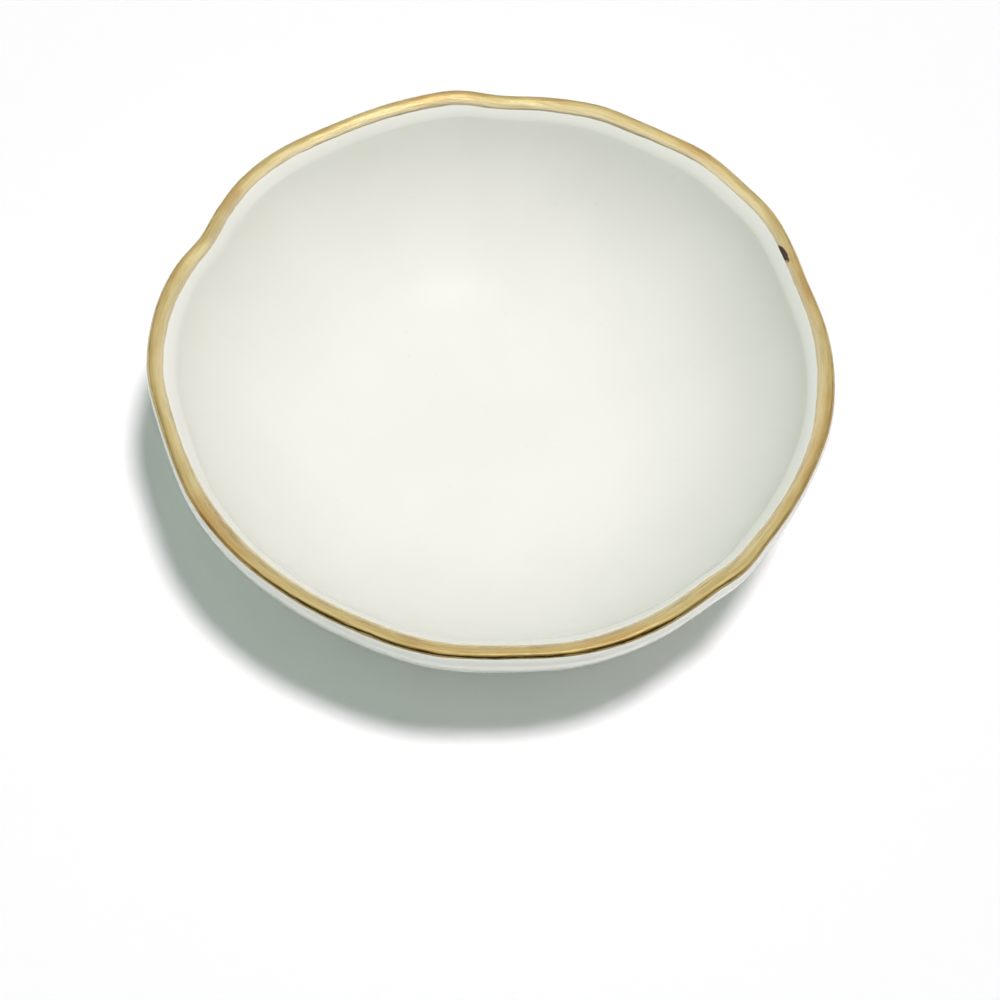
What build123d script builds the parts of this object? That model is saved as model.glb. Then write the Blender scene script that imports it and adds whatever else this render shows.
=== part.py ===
from build123d import *
from build123d import SkipClean
import math
import os

# A small hand-formed ceramic ring dish with a wavy gilded rim.
# Lengths are in millimetres and +Z is up. The dish stands on the plane z = 0, and the origin
# is under the middle of the rim's outline.

# The glazed dish as a whole: its widest radius, the depth from the crest of the lip to the
# floor inside, and the clay under that floor
rim_radius = 39.45
bowl_depth = 17.2
floor_thickness = 1.7

# The lip: how far its crest lies inside the widest line, how far it falls outside to that
# line, and how far in and down it slopes to the start of the inner wall
crest_inset = 0.8
lip_fall_outside = 1.3
lip_reach_inside = 2.45
lip_fall_inside = 1.7

# The inner wall's slope at its start, in degrees, and the flat middle of the floor
wall_slope = 69
floor_radius = 11.0

# How far the curves of lip, wall and floor hold their headings: at the crest, at the lip's
# and the wall's ends where they meet, and at the floor
crest_sweep = 0.6
lip_sweep = 0.6
wall_sweep = 7.0
floor_sweep = 13.0

# The flat underside, and how full the outer wall swells, from a cone (1) to an ellipse (2)
base_radius = 20.0
outer_wall_power = 1.55

# The rim's wave: how far it swings in and out, and up and down
rim_wave = 0.85
crest_wave = 0.3

# How much of that wave is left at the start of the inner wall
inner_wave_share = 0.7

# The glaze coat and the gold lustre over it
glaze_thickness = 0.4
lustre_thickness = 0.12

# The gilded band: how far its inner edge lies inside the widest line, how far it reaches
# down outside from the crest, and the unevenness of the brush at both edges
band_width = 2.2
band_drop = 0.6
brush_wave = 0.2

# The foot ring luted to the underside, the rounding of its lower edges, and the strip of
# bare clay left beside it
foot_radius = 18.0
foot_width = 3.2
foot_height = 1.4
foot_round = 0.5
bare_margin = 0.6

# The rounding at the edge of the glaze inside the foot ring
base_glaze_round = 0.25

# The crest's mean height follows from what stands under it
dish_height = foot_height + floor_thickness + glaze_thickness + bowl_depth

# How far a cutting form reaches past what it cuts
overrun = 3.0

# The walls' faces are parted this far below the crest, so that the tight curves of the lip
# stand in faces of their own and their volumes come out true
lip_depth = 3.0

# The form is laid over rings. They stand evenly along its section, where a bend counts as
# this much more length for each radian that it turns.
form_rings = 48
bend_length = 3.0

# Each ring is drawn as this many arcs that run on smoothly, through points that stand evenly
# round it, and its heading where two arcs meet is read over twice this share of a turn
ring_arcs = 4
arc_points = 18
heading_share = 0.001

# Steps in which the section's curves are worked out before the rings are spaced
curve_steps = 60

# The rim as it was pinched, round the dish from +X through +Y: where, in shares of a turn,
# and how far out, in shares of the wave
rim_swing_shares = [
    (0.000, 0.05),
    (0.022, -0.20),
    (0.053, -0.75),
    (0.072, -0.30),
    (0.097, 0.55),
    (0.119, 0.55),
    (0.144, 0.85),
    (0.167, 0.30),
    (0.183, 0.20),
    (0.203, 0.45),
    (0.228, 0.00),
    (0.253, -0.45),
    (0.275, 0.40),
    (0.300, 0.15),
    (0.339, -0.10),
    (0.375, 0.50),
    (0.397, 0.30),
    (0.417, -0.40),
    (0.436, -1.00),
    (0.456, 0.05),
    (0.478, 0.65),
    (0.514, 0.60),
    (0.544, -0.30),
    (0.564, -0.45),
    (0.592, -0.15),
    (0.622, -0.15),
    (0.653, -0.35),
    (0.689, -0.40),
    (0.728, 0.10),
    (0.764, -0.10),
    (0.800, 0.40),
    (0.833, 0.30),
    (0.864, -0.15),
    (0.881, 0.15),
    (0.903, -0.30),
    (0.939, -0.30),
    (0.972, 0.10),
]

# The same for how far up the crest rises
crest_rise_shares = [
    (0.00, 0.30),
    (0.06, 0.60),
    (0.14, -0.50),
    (0.20, -0.20),
    (0.25, -0.60),
    (0.28, 0.40),
    (0.36, -0.30),
    (0.44, 0.80),
    (0.50, -0.40),
    (0.58, 0.20),
    (0.66, 0.60),
    (0.74, -0.30),
    (0.81, -0.70),
    (0.88, 0.10),
    (0.94, 0.50),
]

# The brush's inner and outer edge on the lip
inner_brush_shares = [
    (0.00, -0.10),
    (0.05, 1.00),
    (0.11, 0.90),
    (0.16, 0.30),
    (0.20, -0.50),
    (0.29, -0.30),
    (0.36, 0.30),
    (0.40, 0.50),
    (0.43, -0.10),
    (0.46, -0.80),
    (0.49, 0.40),
    (0.55, 1.00),
    (0.60, -1.00),
    (0.65, -0.80),
    (0.72, -0.40),
    (0.79, 0.20),
    (0.87, -1.00),
    (0.91, 0.70),
    (0.95, 1.00),
    (0.98, -0.30),
]
outer_brush_shares = [
    (0.00, -0.30),
    (0.07, 0.35),
    (0.13, -0.20),
    (0.22, 0.50),
    (0.30, -0.35),
    (0.38, 0.10),
    (0.45, 0.40),
    (0.52, -0.50),
    (0.61, 0.25),
    (0.69, -0.10),
    (0.77, 0.55),
    (0.84, -0.30),
    (0.92, 0.20),
]

standing = (Align.CENTER, Align.CENTER, Align.MIN)
hanging = (Align.CENTER, Align.CENTER, Align.MAX)


def wave(table, turn):
    """The smooth closed curve through a table of shares, read at a share of a turn."""
    turn = turn % 1
    count = len(table)
    after = 0
    while after < count and table[after][0] <= turn:
        after += 1
    knots = []
    for step in range(-2, 2):
        lap, index = divmod(after + step, count)
        knots.append((table[index][0] + lap, table[index][1]))
    slopes = []
    for first, last in ((knots[0], knots[2]), (knots[1], knots[3])):
        slopes.append((last[1] - first[1]) / (last[0] - first[0]))
    span = knots[2][0] - knots[1][0]
    u = (turn - knots[1][0]) / span
    start = knots[1][1] * (1 + 2 * u) * (1 - u) ** 2 + slopes[0] * span * u * (1 - u) ** 2
    end = knots[2][1] * u**2 * (3 - 2 * u) + slopes[1] * span * u**2 * (u - 1)
    return start + end


def around(radius, height):
    """A closed smooth wire; radius and height are functions of the share of a turn."""

    def point(turn):
        angle = 2 * math.pi * turn
        reach = radius(turn)
        return Vector(reach * math.cos(angle), reach * math.sin(angle), height(turn))

    def heading(turn):
        reached = point(turn + heading_share) - point(turn - heading_share)
        return reached / (2 * heading_share)

    arcs = []
    for arc in range(ring_arcs):
        turns = [(arc + step / arc_points) / ring_arcs for step in range(arc_points + 1)]
        points = [point(turn) for turn in turns]
        ends = (heading(turns[0]), heading(turns[-1]))
        arcs.append(Edge.make_spline(points, tangents=ends, parameters=turns, scale=False))
    return Wire(arcs)


def rim_swing(turn):
    """How far the rim stands out beyond its mean radius."""
    return rim_wave * wave(rim_swing_shares, turn)


def crest_rise(turn):
    """How far the crest stands above its mean height."""
    return crest_wave * wave(crest_rise_shares, turn)


def form_ring(radius, height, hold):
    """A ring of the dish's form, which holds a share of the rim's wave."""
    return around(
        lambda turn: radius + hold * rim_swing(turn),
        lambda turn: height + hold * crest_rise(turn),
    )


def quarter(power):
    """Shares out and up along a quarter of a swelling curve, from its outer end."""
    shares = []
    for step in range(curve_steps + 1):
        angle = math.pi / 2 * step / curve_steps
        out_share = max(math.cos(angle), 0) ** (2 / power)
        up_share = math.sin(angle) ** (2 / power)
        shares.append((out_share, up_share))
    return shares


def sweep(start, start_pull, end_pull, end):
    """Points along a smooth curve that sets out for one pull and comes in from the other."""
    points = []
    for step in range(curve_steps + 1):
        gone = step / curve_steps
        left = 1 - gone
        from_ends = start * left**3 + end * gone**3
        points.append(from_ends + (start_pull * left + end_pull * gone) * (3 * left * gone))
    return points


def section(grow):
    """Radius, height and share of the wave, from the floor inside over the lip to the base."""
    slope = math.radians(wall_slope)
    up_wall = Vector(math.cos(slope), math.sin(slope))
    off_wall = Vector(-math.sin(slope), math.cos(slope))
    floor_height = dish_height - bowl_depth + grow
    crest = Vector(rim_radius - crest_inset, dish_height + grow)
    wall_start = Vector(crest.X - lip_reach_inside, dish_height - lip_fall_inside) + off_wall * grow
    floor_edge = Vector(floor_radius, floor_height)
    outer_radius = rim_radius + grow
    outer_height = dish_height - lip_fall_outside
    base_height = foot_height - glaze_thickness - grow
    along_floor = Vector(floor_sweep, 0)
    along_crest = Vector(crest_sweep, 0)
    line = []
    wall_end = wall_start - up_wall * wall_sweep
    for point in sweep(floor_edge, floor_edge + along_floor, wall_end, wall_start):
        out_share = (point.X - floor_radius) / (wall_start.X - floor_radius)
        line.append((point.X, point.Y, inner_wave_share * out_share**2))
    lip_start = wall_start + up_wall * lip_sweep
    for point in sweep(wall_start, lip_start, crest - along_crest, crest)[1:]:
        up_share = (point.X - wall_start.X) / (crest.X - wall_start.X)
        hold = inner_wave_share + (1 - inner_wave_share) * up_share
        line.append((point.X, point.Y, hold))
    for out_share, up_share in reversed(quarter(2)[:-1]):
        radius = crest.X + out_share * (outer_radius - crest.X)
        height = outer_height + up_share * (crest.Y - outer_height)
        line.append((radius, height, 1))
    for out_share, down_share in quarter(outer_wall_power)[1:]:
        radius = base_radius + out_share * (outer_radius - base_radius)
        height = outer_height - down_share * (outer_height - base_height)
        line.append((radius, height, out_share**2))
    return line


def spaced(line):
    """Stations along the section, closer together where it bends."""
    marks = [0]
    heading = None
    for start, end in zip(line, line[1:]):
        run, rise = end[0] - start[0], end[1] - start[1]
        before = heading
        heading = math.atan2(rise, run)
        bend = 0 if before is None else abs(math.remainder(heading - before, 2 * math.pi))
        marks.append(marks[-1] + math.hypot(run, rise) + bend_length * bend)
    stations = []
    piece = 0
    for step in range(form_rings):
        mark = marks[-1] * step / (form_rings - 1)
        while piece < len(line) - 2 and marks[piece + 1] < mark:
            piece += 1
        share = (mark - marks[piece]) / (marks[piece + 1] - marks[piece])
        start, end = line[piece], line[piece + 1]
        stations.append([a + share * (b - a) for a, b in zip(start, end)])
    return stations


def dish_form(grow):
    """The solid bowl, grown on every side by this much from its glazed surface."""
    return Solid.make_loft([form_ring(*station) for station in spaced(section(grow))])


def band_edge_inside(turn):
    """The radius of the gilded band's inner edge."""
    swing = brush_wave * wave(inner_brush_shares, turn)
    return rim_radius + rim_swing(turn) - band_width + swing


def band_edge_outside(turn):
    """The height of the gilded band's outer edge."""
    swing = brush_wave * wave(outer_brush_shares, turn)
    return dish_height + crest_rise(turn) - band_drop + swing


def beside_band():
    """All the space inside and below the gilded band, as one solid to cut with."""
    clear_radius = rim_radius + rim_wave + overrun
    clear_height = dish_height + crest_wave + overrun
    return Solid.make_loft(
        [
            around(lambda turn: clear_radius, lambda turn: -overrun),
            around(lambda turn: clear_radius, band_edge_outside),
            around(band_edge_inside, band_edge_outside),
            around(band_edge_inside, lambda turn: clear_height),
        ],
        ruled=True,
    )


def parted(piece):
    """The same piece with its faces parted under the lip."""
    side = 2 * (rim_radius + rim_wave + overrun)
    slab = Pos(0, 0, dish_height - lip_depth) * Box(side, side, lip_depth + overrun, align=standing)
    with SkipClean():
        return (piece & slab) + (piece - slab)


def foot_ring():
    """The ring of bare clay, with its two lower edges rounded."""
    ring = Cylinder(foot_radius, foot_height, align=standing)
    ring -= Cylinder(foot_radius - foot_width, foot_height, align=standing)
    return fillet(ring.edges().group_by(Axis.Z)[0], foot_round)


def base_glaze():
    """The round patch of glaze inside the foot ring, hanging from the underside."""
    patch_radius = foot_radius - foot_width - bare_margin
    patch = Pos(0, 0, foot_height) * Cylinder(patch_radius, glaze_thickness, align=hanging)
    return fillet(patch.edges().group_by(Axis.Z)[0], base_glaze_round)


def make_parts():
    """Every piece of the dish, by name, about the foot's axis."""
    clay = dish_form(-glaze_thickness)
    glazed = dish_form(0)
    gilded = dish_form(lustre_thickness)
    bare_base = Cylinder(foot_radius + bare_margin, foot_height, align=standing)
    return {
        "clay_bowl": parted(clay),
        "glaze_coat": parted(glazed - clay - bare_base),
        "gold_rim_band": gilded - beside_band() - glazed,
        "foot_ring": foot_ring(),
        "base_glaze": base_glaze(),
    }


# The wavy outline's middle lies a little off the foot's axis
middle = form_ring(rim_radius, 0, 1).bounding_box().center()
os.makedirs("parts", exist_ok=True)
for name, piece in make_parts().items():
    export_step(Pos(-middle.X, -middle.Y, 0) * piece, f"parts/{name}.step")
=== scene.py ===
import bisect
import math

import bmesh
import bpy
from mathutils import Matrix, Vector, noise


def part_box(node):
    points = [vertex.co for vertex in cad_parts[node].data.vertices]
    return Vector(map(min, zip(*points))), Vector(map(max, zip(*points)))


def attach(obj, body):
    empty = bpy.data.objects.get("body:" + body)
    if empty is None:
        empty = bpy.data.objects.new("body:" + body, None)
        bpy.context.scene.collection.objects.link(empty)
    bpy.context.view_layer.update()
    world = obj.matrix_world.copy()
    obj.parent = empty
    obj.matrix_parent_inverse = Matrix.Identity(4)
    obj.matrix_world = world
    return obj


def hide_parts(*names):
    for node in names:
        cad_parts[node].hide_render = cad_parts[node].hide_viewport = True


# A small hand-formed ring dish: white glaze over a clay bowl, a gold lustre band on its wavy
# lip, and a bare clay foot ring. Lengths are in metres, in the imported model's own frame.

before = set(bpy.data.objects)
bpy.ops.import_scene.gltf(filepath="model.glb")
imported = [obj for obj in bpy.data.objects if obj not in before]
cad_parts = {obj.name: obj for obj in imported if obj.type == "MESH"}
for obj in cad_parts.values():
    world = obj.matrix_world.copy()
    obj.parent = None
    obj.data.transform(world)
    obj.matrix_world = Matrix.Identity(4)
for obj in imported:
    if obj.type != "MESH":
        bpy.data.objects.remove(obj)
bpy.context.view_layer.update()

# The foot's axis, which the dish is built about, and the heights that the frame gives
foot_low, foot_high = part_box("foot_ring")
foot_axis = Vector(((foot_low.x + foot_high.x) / 2, (foot_low.y + foot_high.y) / 2, 0))
foot_radius = (foot_high.x - foot_low.x) / 2
foot_height = foot_high.z
patch_low, patch_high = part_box("base_glaze")
glaze_thickness = patch_high.z - patch_low.z

# The glazed dish as a whole
rim_radius = 0.03945
bowl_depth = 0.0172
floor_thickness = 0.0017
dish_height = foot_height + floor_thickness + glaze_thickness + bowl_depth

# The lip: how far its crest lies inside the widest line, and how far it falls outside to that
# line and slopes inside to the start of the wall
crest_inset = 0.0008
lip_fall_outside = 0.0013
lip_reach_inside = 0.00245
lip_fall_inside = 0.0017
wall_slope = math.radians(69)

# The flat middle of the floor
floor_radius = 0.011

# How far the curves of lip, wall and floor hold their headings at crest, wall's start and floor
crest_sweep = 0.0006
lip_sweep = 0.0006
wall_sweep = 0.007
floor_sweep = 0.013

# The flat underside, and how full the outer wall swells, from a cone (1) to an ellipse (2)
base_radius = 0.020
outer_wall_power = 1.55
bare_margin = 0.0006

# The rim's wave: how far it swings in and out, and up and down, and how much of it is left
# where the lip meets the inner wall
rim_wave = 0.00085
crest_wave = 0.0003
inner_wave_share = 0.7

# The glaze coat stops short of the clay under it, and its edge at the foot is rounded
coat_share = 0.8
coat_edge_round = 0.00015

# Slow swells left by the fingers that shaped the walls: their depth and their size
inner_swell = 0.00009
outer_swell = 0.00012
swell_size = 0.011
swell_margin = 0.0035

# The gilded band: how far its inner edge lies inside the widest line, how far it reaches down
# outside, the unevenness of the brush, and how far it stands proud of the glaze and sinks in
band_width = 0.0022
band_drop = 0.0006
brush_wave = 0.0002
brush_shake = 0.00005
brush_shake_size = 0.0016
band_lift = 0.00006
band_sink = 0.00006
band_edge_power = 8

# The gold's brush streaks, how many in a metre along it and how many across it, and its dark
# speck: where it is, how it lies, its squash along, across and up, and where its edge fades
streak_density = 260
streaks_across = 6
speck_place = Vector((0.03375, 0.01693, 0.0206))
speck_heading = math.radians(118)
speck_squash = Vector((700, 2300, 900))
speck_fade_start = 1.35
speck_fade_end = 1.6

# How finely the shapes are laid out
section_stations = 112
bend_length = 0.006
curve_steps = 60
round_steps = 288
band_round_steps = 720
band_steps = 14
band_under_steps = 6
merge_distance = 1e-7

# The rim as it was pinched, round the dish from +X through +Y: where, in shares of a turn,
# and how far out, in shares of the wave
rim_swing_shares = [
    (0.000, 0.05),
    (0.022, -0.20),
    (0.053, -0.75),
    (0.072, -0.30),
    (0.097, 0.55),
    (0.119, 0.55),
    (0.144, 0.85),
    (0.167, 0.30),
    (0.183, 0.20),
    (0.203, 0.45),
    (0.228, 0.00),
    (0.253, -0.45),
    (0.275, 0.40),
    (0.300, 0.15),
    (0.339, -0.10),
    (0.375, 0.50),
    (0.397, 0.30),
    (0.417, -0.40),
    (0.436, -1.00),
    (0.456, 0.05),
    (0.478, 0.65),
    (0.514, 0.60),
    (0.544, -0.30),
    (0.564, -0.45),
    (0.592, -0.15),
    (0.622, -0.15),
    (0.653, -0.35),
    (0.689, -0.40),
    (0.728, 0.10),
    (0.764, -0.10),
    (0.800, 0.40),
    (0.833, 0.30),
    (0.864, -0.15),
    (0.881, 0.15),
    (0.903, -0.30),
    (0.939, -0.30),
    (0.972, 0.10),
]

# The same for how far up the crest rises
crest_rise_shares = [
    (0.00, 0.30),
    (0.06, 0.60),
    (0.14, -0.50),
    (0.20, -0.20),
    (0.25, -0.60),
    (0.28, 0.40),
    (0.36, -0.30),
    (0.44, 0.80),
    (0.50, -0.40),
    (0.58, 0.20),
    (0.66, 0.60),
    (0.74, -0.30),
    (0.81, -0.70),
    (0.88, 0.10),
    (0.94, 0.50),
]

# The brush's inner and outer edge on the lip
inner_brush_shares = [
    (0.00, -0.10),
    (0.05, 1.00),
    (0.11, 0.90),
    (0.16, 0.30),
    (0.20, -0.50),
    (0.29, -0.30),
    (0.36, 0.30),
    (0.40, 0.50),
    (0.43, -0.10),
    (0.46, -0.80),
    (0.49, 0.40),
    (0.55, 1.00),
    (0.60, -1.00),
    (0.65, -0.80),
    (0.72, -0.40),
    (0.79, 0.20),
    (0.87, -1.00),
    (0.91, 0.70),
    (0.95, 1.00),
    (0.98, -0.30),
]
outer_brush_shares = [
    (0.00, -0.30),
    (0.07, 0.35),
    (0.13, -0.20),
    (0.22, 0.50),
    (0.30, -0.35),
    (0.38, 0.10),
    (0.45, 0.40),
    (0.52, -0.50),
    (0.61, 0.25),
    (0.69, -0.10),
    (0.77, 0.55),
    (0.84, -0.30),
    (0.92, 0.20),
]


def wave(table, turn):
    """The smooth closed curve through a table of shares, read at a share of a turn."""
    turn = turn % 1
    count = len(table)
    after = 0
    while after < count and table[after][0] <= turn:
        after += 1
    knots = []
    for step in range(-2, 2):
        lap, index = divmod(after + step, count)
        knots.append((table[index][0] + lap, table[index][1]))
    slopes = []
    for first, last in ((knots[0], knots[2]), (knots[1], knots[3])):
        slopes.append((last[1] - first[1]) / (last[0] - first[0]))
    span = knots[2][0] - knots[1][0]
    u = (turn - knots[1][0]) / span
    start = knots[1][1] * (1 + 2 * u) * (1 - u) ** 2 + slopes[0] * span * u * (1 - u) ** 2
    end = knots[2][1] * u**2 * (3 - 2 * u) + slopes[1] * span * u**2 * (u - 1)
    return start + end


def turn_of(point):
    """A point's place round the foot's axis, as a share of a turn."""
    return math.atan2(point.y, point.x) / (2 * math.pi) % 1


def quarter(power):
    """Shares out and up along a quarter of a swelling curve, from its outer end."""
    shares = []
    for step in range(curve_steps + 1):
        angle = math.pi / 2 * step / curve_steps
        out_share = max(math.cos(angle), 0) ** (2 / power)
        up_share = math.sin(angle) ** (2 / power)
        shares.append((out_share, up_share))
    return shares


def sweep(corners):
    """Points along the smooth curve that four corners pull."""
    points = []
    for step in range(curve_steps + 1):
        t = step / curve_steps
        pulls = ((1 - t) ** 3, 3 * t * (1 - t) ** 2, 3 * t**2 * (1 - t), t**3)
        radius = sum(pull * corner[0] for pull, corner in zip(pulls, corners))
        height = sum(pull * corner[1] for pull, corner in zip(pulls, corners))
        points.append((radius, height))
    return points


def lip_line():
    """The lip from the wall's start to the widest line: how far outside the crest, how far below
    it, and the share of the rim's wave."""
    wall_run, wall_rise = math.cos(wall_slope), math.sin(wall_slope)
    slope = sweep([
        (-lip_reach_inside, lip_fall_inside),
        (lip_sweep * wall_run - lip_reach_inside, lip_fall_inside - lip_sweep * wall_rise),
        (-crest_sweep, 0),
        (0, 0),
    ])
    line = []
    for out, fall in slope:
        line.append((out, fall, 1 + (1 - inner_wave_share) * out / lip_reach_inside))
    for out_share, up_share in reversed(quarter(2)[:-1]):
        line.append((out_share * crest_inset, (1 - up_share) * lip_fall_outside, 1))
    return line


def glazed_section():
    """Radius, height and share of the rim's wave, from the floor's middle to the foot ring."""
    crest_radius = rim_radius - crest_inset
    outer_height = dish_height - lip_fall_outside
    floor_height = dish_height - bowl_depth
    base_height = foot_height - glaze_thickness
    bare_radius = foot_radius + bare_margin
    wall_radius = crest_radius - lip_reach_inside
    wall_height = dish_height - lip_fall_inside
    wall_run, wall_rise = math.cos(wall_slope), math.sin(wall_slope)
    inner_wall = sweep([
        (floor_radius, floor_height),
        (floor_radius + floor_sweep, floor_height),
        (wall_radius - wall_sweep * wall_run, wall_height - wall_sweep * wall_rise),
        (wall_radius, wall_height),
    ])
    line = [(0, floor_height, 0)]
    for radius, height in inner_wall:
        out_share = (radius - floor_radius) / (wall_radius - floor_radius)
        line.append((radius, height, inner_wave_share * out_share**2))
    for out, fall, hold in lip_line()[1:]:
        line.append((crest_radius + out, dish_height - fall, hold))
    for out_share, down_share in quarter(outer_wall_power)[1:]:
        radius = base_radius + out_share * (rim_radius - base_radius)
        height = outer_height - down_share * (outer_height - base_height)
        line.append((radius, height, out_share**2))
    for out_share, up_share in reversed(quarter(2)):
        radius = bare_radius + (1 - out_share) * coat_edge_round
        height = base_height + (1 - up_share) * coat_edge_round
        line.append((radius, height, 0))
    return line


def spaced(line, count):
    """Stations along the section, closer together where it bends."""
    marks = [0]
    heading = None
    for start, end in zip(line, line[1:]):
        run, rise = end[0] - start[0], end[1] - start[1]
        before = heading
        heading = math.atan2(rise, run)
        bend = 0 if before is None else abs(math.remainder(heading - before, 2 * math.pi))
        marks.append(marks[-1] + math.hypot(run, rise) + bend_length * bend)
    stations = []
    piece = 0
    for step in range(count):
        mark = marks[-1] * step / (count - 1)
        while piece < len(line) - 2 and marks[piece + 1] < mark:
            piece += 1
        share = (mark - marks[piece]) / (marks[piece + 1] - marks[piece])
        start, end = line[piece], line[piece + 1]
        stations.append([a + share * (b - a) for a, b in zip(start, end)])
    return stations


def swell(point):
    """How far the hand-formed wall stands out of its even shape at a point."""
    reach = math.hypot(point.x, point.y)
    fade = min(max((rim_radius - reach) / swell_margin - 1, 0), 1)
    return noise.noise(point / swell_size) * fade


def lathe(section, steps, layers=()):
    """A bmesh turned from a line of (radius, height, ...) points. The rest of each point goes
    into the named float layers."""
    bm = bmesh.new()
    held = [bm.verts.layers.float.new(name) for name in layers]
    line = []
    for radius, height, *values in section:
        vert = bm.verts.new((radius, 0, height))
        for layer, value in zip(held, values):
            vert[layer] = value
        line.append(vert)
    edges = [bm.edges.new(pair) for pair in zip(line, line[1:])]
    bmesh.ops.spin(
        bm,
        geom=line + edges,
        cent=(0, 0, 0),
        axis=(0, 0, 1),
        angle=2 * math.pi,
        steps=steps,
        use_merge=True,
    )
    bmesh.ops.remove_doubles(bm, verts=bm.verts[:], dist=merge_distance)
    return bm


def finished(bm, name, material):
    """The object made of a bmesh that stands about the foot's axis."""
    bmesh.ops.recalc_face_normals(bm, faces=bm.faces[:])
    bmesh.ops.translate(bm, verts=bm.verts[:], vec=foot_axis)
    mesh = bpy.data.meshes.new(name)
    bm.to_mesh(mesh)
    bm.free()
    mesh.shade_smooth()
    mesh.materials.append(material)
    piece = bpy.data.objects.new(name, mesh)
    bpy.context.scene.collection.objects.link(piece)
    return piece


class Nodes:
    """A material's or the world's node tree, filled from empty."""

    def __init__(self, holder):
        holder.use_nodes = True
        self.tree = holder.node_tree
        self.tree.nodes.clear()

    def add(self, kind, inputs=None, **settings):
        """A new node; an input is a number, a colour or another node's socket."""
        node = self.tree.nodes.new("ShaderNode" + kind)
        for name, value in settings.items():
            setattr(node, name, value)
        for name, value in (inputs or {}).items():
            if isinstance(value, bpy.types.NodeSocket):
                self.tree.links.new(value, node.inputs[name])
            else:
                node.inputs[name].default_value = value
        return node

    def ramp(self, share, stops):
        """A colour ramp read at a share; stops are (place, colour)."""
        node = self.add("ValToRGB", {0: share})
        elements = node.color_ramp.elements
        while len(elements) > len(stops):
            elements.remove(elements[-1])
        while len(elements) < len(stops):
            elements.new(1)
        for element, (place, colour) in zip(elements, stops):
            element.position = place
            element.color = (*colour, 1)
        return node.outputs["Color"]

    def span(self, share, low, high, from_low=0, from_high=1):
        """A share stretched to lie between two values."""
        inputs = {"Value": share, 1: from_low, 2: from_high, 3: low, 4: high}
        return self.add("MapRange", inputs).outputs["Result"]

    def mixed(self, share, first, second, blend_type="MIX"):
        """Two colours mixed by a share; 6 and 7 are the Mix node's colour inputs."""
        inputs = {0: share, 6: first, 7: second}
        node = self.add("Mix", inputs, data_type="RGBA", blend_type=blend_type)
        return node.outputs[2]

    def figure(self, operation, first, second=0, clamped=False):
        """The result of an operation on one number or two."""
        node = self.add("Math", {0: first, 1: second}, operation=operation, use_clamp=clamped)
        return node.outputs[0]

    def vector(self, operation, first, second=(0, 0, 0)):
        """The vector result of an operation on one vector or two."""
        node = self.add("VectorMath", {0: first, 1: second}, operation=operation)
        return node.outputs["Vector"]

    def measure(self, operation, first, second=(0, 0, 0)):
        """The length of a vector, or the product of two."""
        node = self.add("VectorMath", {0: first, 1: second}, operation=operation)
        return node.outputs["Value"]


def white_glaze():
    """Glossy white glaze: pooled and thin places, a soft orange peel and a few pinholes."""
    material = bpy.data.materials.new("white_glaze")
    nodes = Nodes(material)
    place = nodes.add("TexCoord").outputs["Object"]
    pools = nodes.add("TexNoise", {"Vector": place, "Scale": 95, "Detail": 3, "Roughness": 0.5})
    peel = nodes.add("TexNoise", {"Vector": place, "Scale": 900, "Detail": 2, "Roughness": 0.5})
    swells = nodes.add("TexNoise", {"Vector": place, "Scale": 260, "Detail": 1, "Roughness": 0.4})
    grains = nodes.add("TexVoronoi", {"Vector": place, "Scale": 420})
    colour = nodes.ramp(
        pools.outputs["Fac"],
        [
            (0.3, (0.835, 0.845, 0.765)),
            (0.5, (0.845, 0.855, 0.78)),
            (0.7, (0.855, 0.865, 0.79)),
        ],
    )
    pinholes = nodes.ramp(
        grains.outputs["Distance"],
        [(0.0, (0.55, 0.53, 0.48)), (0.045, (1, 1, 1))],
    )
    pinhole_share = 0.5
    tinted = nodes.mixed(pinhole_share, colour, pinholes, "MULTIPLY")
    low_bump = nodes.add(
        "Bump",
        {"Height": swells.outputs["Fac"], "Strength": 0.12, "Distance": 0.00025},
    )
    bump = nodes.add(
        "Bump",
        {
            "Height": peel.outputs["Fac"],
            "Strength": 0.2,
            "Distance": 0.00002,
            "Normal": low_bump.outputs["Normal"],
        },
    )
    shader = nodes.add(
        "BsdfPrincipled",
        {
            "Base Color": tinted,
            "Roughness": nodes.span(pools.outputs["Fac"], 0.10, 0.20),
            "IOR": 1.5,
            "Normal": bump.outputs["Normal"],
        },
    )
    nodes.add("OutputMaterial", {"Surface": shader.outputs["BSDF"]})
    return material


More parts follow.
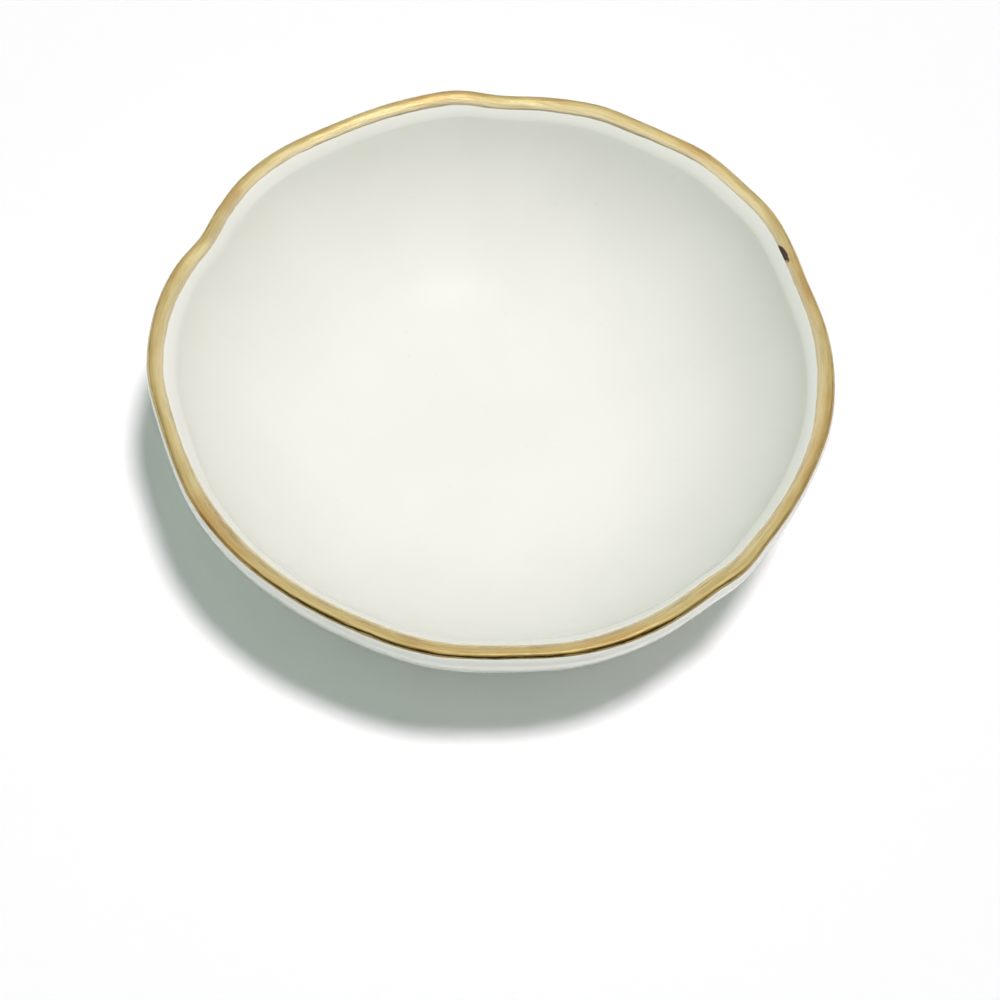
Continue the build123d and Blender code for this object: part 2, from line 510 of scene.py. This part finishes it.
def gold_lustre():
    """Fired gold lustre: a metal film with brush streaks, thin ochre places, a dark speck and a
    painted dark reflection along its outer edge.
    """
    material = bpy.data.materials.new("gold_lustre")
    nodes = Nodes(material)
    place = nodes.add("TexCoord").outputs["Object"]
    across = nodes.add("Attribute", attribute_name="across").outputs["Fac"]
    parts = nodes.add("SeparateXYZ", {0: place}).outputs
    streak_place = nodes.add(
        "CombineXYZ",
        {
            "X": nodes.figure("MULTIPLY", parts["X"], streak_density),
            "Y": nodes.figure("MULTIPLY", parts["Y"], streak_density),
            "Z": nodes.figure("MULTIPLY", across, streaks_across),
        },
    )
    streaks = nodes.add(
        "TexNoise",
        {"Vector": streak_place.outputs[0], "Scale": 1, "Detail": 3, "Roughness": 0.55},
    )
    clouds = nodes.add("TexNoise", {"Vector": place, "Scale": 120, "Detail": 2, "Roughness": 0.5})
    film = nodes.ramp(
        clouds.outputs["Fac"],
        [(0.32, (0.78, 0.55, 0.24)), (0.5, (0.86, 0.69, 0.33)), (0.7, (0.88, 0.74, 0.38))],
    )
    # Painted dark reflection: the colour darkens to brown-black towards the band's outer edge,
    # standing in for the dim low surroundings that the outward-leaning gold mirrors.
    painted_dark_edge = nodes.ramp(
        across,
        [
            (0.4, (1, 1, 1)),
            (0.75, (0.78, 0.73, 0.63)),
            (0.88, (0.5, 0.44, 0.32)),
            (1.0, (0.14, 0.115, 0.075)),
        ],
    )
    strokes = nodes.ramp(
        streaks.outputs["Fac"],
        [(0.36, (0.88, 0.85, 0.78)), (0.56, (1, 1, 1))],
    )
    # The film is darkened by the painted dark reflection at the outer edge, then by the brush
    # streaks.
    film = nodes.mixed(1, film, painted_dark_edge, "MULTIPLY")
    film = nodes.mixed(1, film, strokes, "MULTIPLY")
    thin = nodes.ramp(across, [(0.0, (1, 1, 1)), (0.12, (0.6, 0.6, 0.6)), (0.45, (0, 0, 0))])
    thin_colour = (0.86, 0.77, 0.55, 1)
    colour = nodes.mixed(thin, film, thin_colour)
    # A small dark brown speck near the band's inner edge, with a ragged rim; there the gold is not
    # metal.
    ragged = nodes.add(
        "TexNoise",
        {"Vector": place, "Scale": 1500, "Detail": 2, "Roughness": 0.6},
    )
    turned = nodes.add(
        "VectorRotate",
        {"Vector": nodes.vector("SUBTRACT", place, speck_place), "Angle": -speck_heading},
        rotation_type="Z_AXIS",
    )
    squashed = nodes.vector("MULTIPLY", turned.outputs[0], speck_squash)
    edge = nodes.figure("ADD", nodes.measure("LENGTH", squashed), ragged.outputs["Fac"])
    speck = nodes.span(edge, 1, 0, speck_fade_start, speck_fade_end)
    speck_colour = (0.06, 0.03, 0.018, 1)
    thin_metal = 0.45
    metal = nodes.figure("SUBTRACT", nodes.span(thin, 1, thin_metal), speck, clamped=True)
    low_bump = nodes.add(
        "Bump",
        {"Height": clouds.outputs["Fac"], "Strength": 0.5, "Distance": 0.0005},
    )
    bump = nodes.add(
        "Bump",
        {
            "Height": streaks.outputs["Fac"],
            "Strength": 0.5,
            "Distance": 0.00014,
            "Normal": low_bump.outputs["Normal"],
        },
    )
    shader = nodes.add(
        "BsdfPrincipled",
        {
            "Base Color": nodes.mixed(speck, colour, speck_colour),
            "Metallic": metal,
            "Roughness": nodes.span(streaks.outputs["Fac"], 0.10, 0.30),
            "Normal": bump.outputs["Normal"],
        },
    )
    nodes.add("OutputMaterial", {"Surface": shader.outputs["BSDF"]})
    return material


def white_clay():
    """Bare fired clay: matte, slightly warm, with fine grog."""
    material = bpy.data.materials.new("white_clay")
    nodes = Nodes(material)
    place = nodes.add("TexCoord").outputs["Object"]
    clouds = nodes.add("TexNoise", {"Vector": place, "Scale": 240, "Detail": 3, "Roughness": 0.6})
    grog = nodes.add("TexNoise", {"Vector": place, "Scale": 3200, "Detail": 2, "Roughness": 0.6})
    colour = nodes.ramp(
        clouds.outputs["Fac"],
        [(0.3, (0.66, 0.60, 0.51)), (0.7, (0.76, 0.71, 0.62))],
    )
    bump = nodes.add("Bump", {"Height": grog.outputs["Fac"], "Strength": 0.6, "Distance": 0.00006})
    shader = nodes.add(
        "BsdfPrincipled",
        {
            "Base Color": colour,
            "Roughness": nodes.span(grog.outputs["Fac"], 0.75, 0.95),
            "Normal": bump.outputs["Normal"],
        },
    )
    nodes.add("OutputMaterial", {"Surface": shader.outputs["BSDF"]})
    return material


def glaze_skin(material):
    """The glaze coat over the lip and down both walls, with the swells left by the fingers."""
    section = spaced(glazed_section(), section_stations)
    bm = lathe(section, round_steps, ["hold"])
    hold = bm.verts.layers.float["hold"]
    for vert in bm.verts:
        turn = turn_of(vert.co)
        reach = Vector((math.cos(2 * math.pi * turn), math.sin(2 * math.pi * turn), 0))
        vert.co += reach * vert[hold] * rim_wave * wave(rim_swing_shares, turn)
        vert.co.z += vert[hold] * crest_wave * wave(crest_rise_shares, turn)
    bmesh.ops.recalc_face_normals(bm, faces=bm.faces[:])
    bm.normal_update()
    moves = []
    for vert in bm.verts:
        inside = vert.normal.z > 0
        depth = inner_swell if inside else outer_swell
        moves.append(vert.normal * depth * swell(vert.co))
    for vert, move in zip(bm.verts, moves):
        vert.co += move
    piece = finished(bm, "glaze_skin", material)
    solid = piece.modifiers.new("coat", "SOLIDIFY")
    solid.thickness = glaze_thickness * coat_share
    solid.offset = -1
    solid.use_even_offset = True
    return piece


def lip_point(turn, way, lift):
    """A point over the lip, by its way along the lip's line and its lift off the glaze."""
    piece = min(bisect.bisect_right(lip_ways, way), len(lip_ways) - 1)
    share = (way - lip_ways[piece - 1]) / (lip_ways[piece] - lip_ways[piece - 1])
    start, end = lip[piece - 1], lip[piece]
    out, fall, hold = (a + share * (b - a) for a, b in zip(start, end))
    heading = math.atan2(start[1] - end[1], end[0] - start[0])
    radius = rim_radius - crest_inset + out - lift * math.sin(heading)
    height = dish_height - fall + lift * math.cos(heading)
    radius += hold * rim_wave * wave(rim_swing_shares, turn)
    height += hold * crest_wave * wave(crest_rise_shares, turn)
    angle = 2 * math.pi * turn
    return Vector((radius * math.cos(angle), radius * math.sin(angle), height))


def lip_way(out):
    """The way along the lip's line to a place outside (or, below 0, inside) the crest."""
    piece = min(bisect.bisect_right(lip_outs, out), len(lip_outs) - 1)
    share = (out - lip_outs[piece - 1]) / (lip_outs[piece] - lip_outs[piece - 1])
    return lip_ways[piece - 1] + share * (lip_ways[piece] - lip_ways[piece - 1])


def brush_edge(turn, shares, side):
    """How far the brush's edge strays: its slow sway and a fine shake."""
    heading = 2 * math.pi * turn
    place = Vector((math.cos(heading), math.sin(heading), 0)) * rim_radius / brush_shake_size
    place.z = side
    return brush_wave * wave(shares, turn) + brush_shake * noise.noise(place)


def gilding(material):
    """The gold lustre band: a thin film over the crest, its edges sunk into the glaze."""
    section = []
    for step in range(band_steps + 1):
        share = step / band_steps
        proud = 1 - abs(2 * share - 1) ** band_edge_power
        section.append((rim_radius, band_lift, share, proud * (band_lift + band_sink) - band_sink))
    for step in range(1, band_under_steps):
        share = 1 - step / band_under_steps
        section.append((rim_radius, -band_sink, share, -2 * band_sink))
    section.append(section[0])
    spread = []
    for radius, height, share, lift in section:
        spread.append((radius + share * band_width, height, share, lift))
    bm = lathe(spread, band_round_steps, ["across", "lift"])
    across = bm.verts.layers.float["across"]
    lift = bm.verts.layers.float["lift"]
    for vert in bm.verts:
        turn = turn_of(vert.co)
        inside = band_width - crest_inset - brush_edge(turn, inner_brush_shares, 1)
        down = band_drop - brush_edge(turn, outer_brush_shares, 2)
        outside = crest_inset * math.sin(math.acos(1 - down / lip_fall_outside))
        first, last = lip_way(-inside), lip_way(outside)
        vert.co = lip_point(turn, first + vert[across] * (last - first), vert[lift])
    return finished(bm, "gilding", material)


lip = lip_line()
lip_outs = [out for out, fall, hold in lip]
lip_ways = [0]
for start, end in zip(lip, lip[1:]):
    lip_ways.append(lip_ways[-1] + math.hypot(end[0] - start[0], end[1] - start[1]))

glaze = white_glaze()
gold = gold_lustre()
clay = white_clay()

skin = glaze_skin(glaze)
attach(skin, "root")
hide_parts("glaze_coat")

band = gilding(gold)
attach(band, "root")
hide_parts("gold_rim_band")

for node, finish in (("clay_bowl", clay), ("foot_ring", clay), ("base_glaze", glaze)):
    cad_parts[node].material_slots[0].material = finish

# The floor
floor_half = 1.5
bpy.ops.mesh.primitive_plane_add(size=2 * floor_half)
floor = bpy.context.object
floor.name = "floor"
floor_material = bpy.data.materials.new("floor_paper")
floor_nodes = Nodes(floor_material)
floor_shader = floor_nodes.add("BsdfDiffuse", {"Color": (0.97, 0.975, 0.975, 1)})
floor_nodes.add("OutputMaterial", {"Surface": floor_shader.outputs["BSDF"]})
floor.data.materials.append(floor_material)

# The key light, nearly overhead and a little to the right
key = bpy.data.lights.new("key", "SUN")
key.energy = 2.45
key.color = (1.0, 0.915, 0.97)
key.angle = math.radians(9.5)
key_holder = bpy.data.objects.new("key", key)
bpy.context.scene.collection.objects.link(key_holder)
key_from = Vector((3.4, -0.75, 20))
key_holder.rotation_euler = key_from.to_track_quat("Z", "Y").to_euler()
key_holder.visible_glossy = False

# A weak cool light from the left
side = bpy.data.lights.new("side", "SUN")
side.energy = 0.16
side.color = (0.5, 1.0, 0.8)
side.angle = math.radians(90)
side_holder = bpy.data.objects.new("side", side)
bpy.context.scene.collection.objects.link(side_holder)
side_from = Vector((-1, 0.1, 0.5))
side_holder.rotation_euler = side_from.to_track_quat("Z", "Y").to_euler()
side_holder.visible_glossy = False

# The room, which only gloss and metal mirror: dim low down, lighter at the back, with a soft box
# overhead, dark where the viewer stands, and with the key light as a soft disc
room_radius = 1.2
back_light = (0.76, 0.76, 0.74, 1)
soft_box_squash = (1.25, 2.5, 0)
soft_box_light = (0.92, 0.92, 0.90, 1)
viewer_light = (0.05, 0.055, 0.04, 1)
disc_light = (1.7, 1.7, 1.66, 1)
disc_fade_start = math.cos(math.radians(12))
disc_fade_end = math.cos(math.radians(5))
bpy.ops.mesh.primitive_uv_sphere_add(segments=64, ring_count=32, radius=room_radius)
room = bpy.context.object
room.name = "room"
room_material = bpy.data.materials.new("room_light")
room_nodes = Nodes(room_material)
way = room_nodes.vector("NORMALIZE", room_nodes.add("TexCoord").outputs["Object"])
way_parts = room_nodes.add("SeparateXYZ", {0: way}).outputs
walls = room_nodes.ramp(
    way_parts["Z"],
    [(0.0, (0.27, 0.27, 0.26)), (0.3, (0.52, 0.52, 0.50)), (0.8, (0.62, 0.62, 0.60))],
)
back = room_nodes.figure(
    "MULTIPLY",
    room_nodes.span(way_parts["Y"], 0, 1, 0.3, 0.6),
    room_nodes.span(way_parts["Z"], 0, 1, 0.1, 0.4),
)
walls = room_nodes.mixed(back, walls, back_light)
box_reach = room_nodes.measure("LENGTH", room_nodes.vector("MULTIPLY", way, soft_box_squash))
soft_box = room_nodes.span(box_reach, 1, 0, 0.8, 1.15)
walls = room_nodes.mixed(soft_box, walls, soft_box_light)
near = room_nodes.span(way_parts["Y"], 1, 0, -0.5, -0.2)
aside = room_nodes.figure("ABSOLUTE", way_parts["X"])
narrow = room_nodes.span(aside, 1, 0, 0.75, 0.92)
low = room_nodes.span(way_parts["Z"], 1, 0, 0.6, 0.85)
viewer = room_nodes.figure("MULTIPLY", room_nodes.figure("MULTIPLY", near, narrow), low)
walls = room_nodes.mixed(viewer, walls, viewer_light)
off_key = room_nodes.measure("DOT_PRODUCT", way, key_from.normalized())
disc = room_nodes.span(off_key, 0, 1, disc_fade_start, disc_fade_end)
walls = room_nodes.mixed(disc, walls, disc_light)
room_shader = room_nodes.add("Emission", {"Color": walls, "Strength": 1})
room_nodes.add("OutputMaterial", {"Surface": room_shader.outputs[0]})
room.data.materials.append(room_material)
room.visible_camera = False
room.visible_diffuse = False
room.visible_transmission = False
room.visible_shadow = False
room.visible_volume_scatter = False

# The surroundings: a soft fill, and white where they are seen directly or mirrored
world = bpy.data.worlds.new("studio")
bpy.context.scene.world = world
world_nodes = Nodes(world)
path = world_nodes.add("LightPath").outputs
seen = world_nodes.figure("MAXIMUM", path["Is Camera Ray"], path["Is Glossy Ray"])
seen = world_nodes.figure("MAXIMUM", seen, path["Is Transmission Ray"])
fill = world_nodes.add("Background", {"Color": (0.84, 1.0, 0.9, 1), "Strength": 0.28})
white = world_nodes.add("Background", {"Color": (1, 1, 1, 1), "Strength": 1})
both = world_nodes.add("MixShader", {0: seen, 1: fill.outputs[0], 2: white.outputs[0]})
world_nodes.add("OutputWorld", {"Surface": both.outputs[0]})

# The camera, at the photograph's place, tilt and roll
camera_place = Vector((0.0018, -0.18074, 0.2885))
camera_elevation = math.radians(58.9)
camera_roll = math.radians(2.78)
camera = bpy.data.cameras.new("camera")
camera.sensor_width = 36
camera.lens = 100.87
camera.clip_start = 0.01
camera_holder = bpy.data.objects.new("camera", camera)
tilt = Matrix.Rotation(math.pi / 2 - camera_elevation, 4, "X")
roll = Matrix.Rotation(camera_roll, 4, "Z")
camera_holder.matrix_world = Matrix.Translation(camera_place) @ tilt @ roll
bpy.context.scene.collection.objects.link(camera_holder)
bpy.context.scene.camera = camera_holder

bpy.context.scene.view_settings.view_transform = "Standard"
